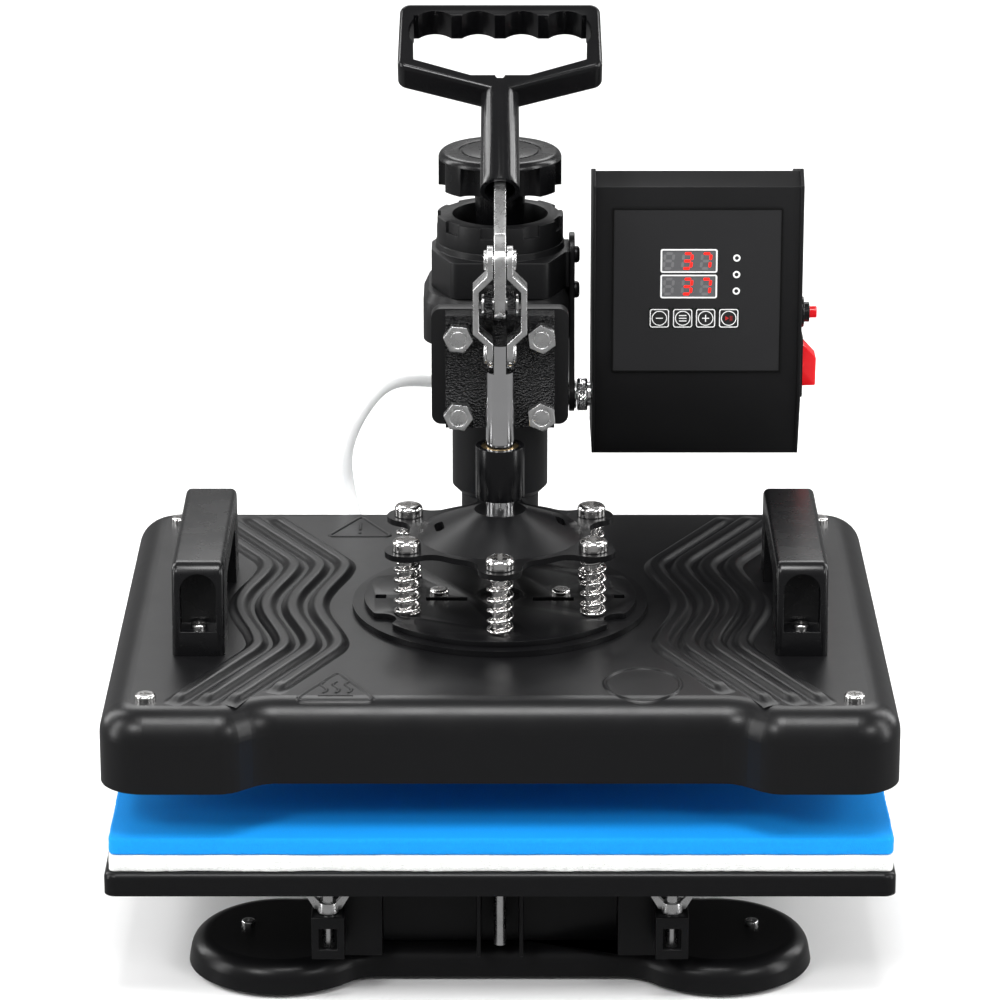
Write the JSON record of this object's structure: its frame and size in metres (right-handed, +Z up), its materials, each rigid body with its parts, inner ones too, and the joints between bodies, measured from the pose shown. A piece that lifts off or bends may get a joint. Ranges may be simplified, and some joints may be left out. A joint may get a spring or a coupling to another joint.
{
  "type": "heat press",
  "caption": "Swing-away flat heat press: toggle lever, ribbed heated platen on sprung posts, padded lower platen, pressure knob and digital controller box.",
  "frame": {"origin": "centre of the bounding box's bottom face, on the surface that the press stands on", "axes": "+X to the operator's right, +Y from the operator to the column, +Z up"},
  "size_m": [0.3868, 0.4, 0.4377],
  "materials": {
    "black_enamel": "gloss black paint on steel",
    "satin_black": "satin black paint on a casting",
    "wrinkle_black": "coarse wrinkle black paint",
    "cover_black": "satin black heat-resistant paint",
    "case_black": "fine satin black powder coat",
    "panel_film": "matt black polyester film, white print",
    "display_window": "grey seven-segment display window",
    "board_green": "green circuit board",
    "handle_plastic": "gloss black moulded grip",
    "black_plastic": "semi-gloss black moulding",
    "red_plastic": "gloss red moulding",
    "rubber": "matt black rubber",
    "dark_screw": "blackened steel",
    "zinc": "bright zinc plate",
    "nickel": "bright nickel plate",
    "chrome": "ground chromed steel",
    "aluminium": "machined aluminium",
    "brass": "sintered bronze",
    "white_felt": "white aramid felt",
    "blue_sponge": "blue silicone sponge",
    "cable_sleeve": "translucent white silicone-glass sleeve"
  },
  "bodies": {
    "base": {"base_shell": "black_enamel", "rubber_feet": "rubber", "foot_screws": "zinc", "column_post": "satin_black", "support_frame": "black_enamel", "wing_brackets": "black_enamel", "platen_studs": "zinc", "lower_platen": "black_enamel", "felt_pad": "white_felt", "sponge_pad": "blue_sponge"},
    "collar": {"lift_collar": "brass"},
    "head": {"arm_casting": "satin_black", "housing_shell": "satin_black", "lock_ring": "satin_black", "toggle_block": "wrinkle_black", "block_bolts": "zinc", "guide_bush": "brass", "fork_pin": "zinc", "controller_bracket": "black_enamel", "bracket_screws": "dark_screw", "tilt_stud": "zinc", "cable_clip": "black_plastic", "controller_lead": "cable_sleeve"},
    "knob": {"pressure_knob": "black_plastic", "adjusting_screw": "zinc"},
    "lever": {"lever_bar": "zinc", "handle_grip": "handle_plastic"},
    "links": {"link_plates": "zinc", "link_rivets": "zinc"},
    "ram": {"ram_rod": "chrome", "spider_plate": "black_enamel"},
    "hot_platen": {"disc_plate": "black_enamel", "lobed_plate": "black_enamel", "platen_screws": "nickel", "post_bolts": "nickel", "springs": "nickel", "cover": "cover_black", "heating_platen": "aluminium", "heating_element": "zinc", "insulation_sheet": "white_felt", "side_handles": "black_plastic", "handle_screws": "nickel", "cover_gland": "black_plastic", "heater_cable": "cable_sleeve"},
    "controller": {"controller_shell": "case_black", "front_panel": "panel_film", "display_module": "display_window", "circuit_board": "board_green", "rocker_frame": "black_plastic", "breaker_bezel": "black_plastic", "mains_inlet": "black_plastic"},
    "rocker": {"rocker": "red_plastic"},
    "reset_button": {"reset_button": "red_plastic"},
    "key_minus": {"key_minus": "panel_film"},
    "key_mode": {"key_mode": "panel_film"},
    "key_plus": {"key_plus": "panel_film"},
    "key_start": {"key_start": "panel_film"},
    "thumb_nut": {"thumb_nut": "chrome"},
    "wing_nut_left": {"wing_nut_left": "zinc"},
    "wing_nut_right": {"wing_nut_right": "zinc"}
  },
  "joints": [
    {"name": "head_lift", "type": "slide", "parent": "base", "child": "collar", "axis": [0, 0, 1], "range_m": [0, 0.006]},
    {"name": "head_swing", "type": "hinge", "parent": "collar", "child": "head", "pos_m": [0, 0.145, 0.2], "axis": [0, 0, 1], "range_deg": [-180, 180]},
    {"name": "pressure_knob_turn", "type": "hinge", "parent": "head", "child": "knob", "pos_m": [0, 0.145, 0.338], "axis": [0, 0, 1], "range_deg": [0, 1081]},
    {"name": "lever_pull", "type": "hinge", "parent": "head", "child": "lever", "pos_m": [0, -0.045, 0.3148], "axis": [1, 0, 0], "range_deg": [0, 140]},
    {"name": "link_swing", "type": "hinge", "parent": "lever", "child": "links", "pos_m": [0, -0.045, 0.3375], "axis": [1, 0, 0], "range_deg": [-122.77, 0]},
    {"name": "ram_slide", "type": "slide", "parent": "head", "child": "ram", "axis": [0, 0, -1], "range_m": [0, 0.03805], "deforming": ["springs"]},
    {"name": "platen_drop", "type": "slide", "parent": "head", "child": "hot_platen", "axis": [0, 0, -1], "range_m": [0, 0.0239], "deforming": ["heater_cable"]},
    {"name": "controller_tilt", "type": "hinge", "parent": "head", "child": "controller", "pos_m": [0.0495, 0.127, 0.2135], "axis": [1, 0, 0], "range_deg": [-12, 15], "deforming": ["controller_lead"]},
    {"name": "thumb_nut_turn", "type": "hinge", "parent": "head", "child": "thumb_nut", "pos_m": [0.044, 0.127, 0.2135], "axis": [1, 0, 0], "range_deg": [0, 360]},
    {"name": "rocker_switch", "type": "hinge", "parent": "controller", "child": "rocker", "pos_m": [0.161, 0.127, 0.2318], "axis": [0, 1, 0], "range_deg": [0, 16]},
    {"name": "reset_press", "type": "slide", "parent": "controller", "child": "reset_button", "axis": [-1, 0, 0], "range_m": [0, 0.003], "stiffness_N_per_m": 300},
    {"name": "wing_nut_left_turn", "type": "hinge", "parent": "base", "child": "wing_nut_left", "pos_m": [-0.084, -0.182, 0.05], "axis": [0, 0, 1], "range_deg": [0, 360]},
    {"name": "wing_nut_right_turn", "type": "hinge", "parent": "base", "child": "wing_nut_right", "pos_m": [0.084, -0.182, 0.05], "axis": [0, 0, 1], "range_deg": [0, 360]},
    {"name": "key_minus_press", "type": "slide", "parent": "controller", "child": "key_minus", "axis": [0, 1, 0], "range_m": [0, 0.0005], "stiffness_N_per_m": 400},
    {"name": "key_mode_press", "type": "slide", "parent": "controller", "child": "key_mode", "axis": [0, 1, 0], "range_m": [0, 0.0005], "stiffness_N_per_m": 400},
    {"name": "key_plus_press", "type": "slide", "parent": "controller", "child": "key_plus", "axis": [0, 1, 0], "range_m": [0, 0.0005], "stiffness_N_per_m": 400},
    {"name": "key_start_press", "type": "slide", "parent": "controller", "child": "key_start", "axis": [0, 1, 0], "range_m": [0, 0.0005], "stiffness_N_per_m": 400}
  ],
  "couplings": [
    {"joint": "pressure_knob_turn", "follows": "head_lift", "rad_per_m": 3141.6},
    {"joint": "link_swing", "follows": "lever_pull", "ratio": -0.87547},
    {"joint": "ram_slide", "follows": "lever_pull", "m_per_rad": 0.015491},
    {"joint": "platen_drop", "follows": "lever_pull", "m_per_rad": 0.0097403}
  ]
}
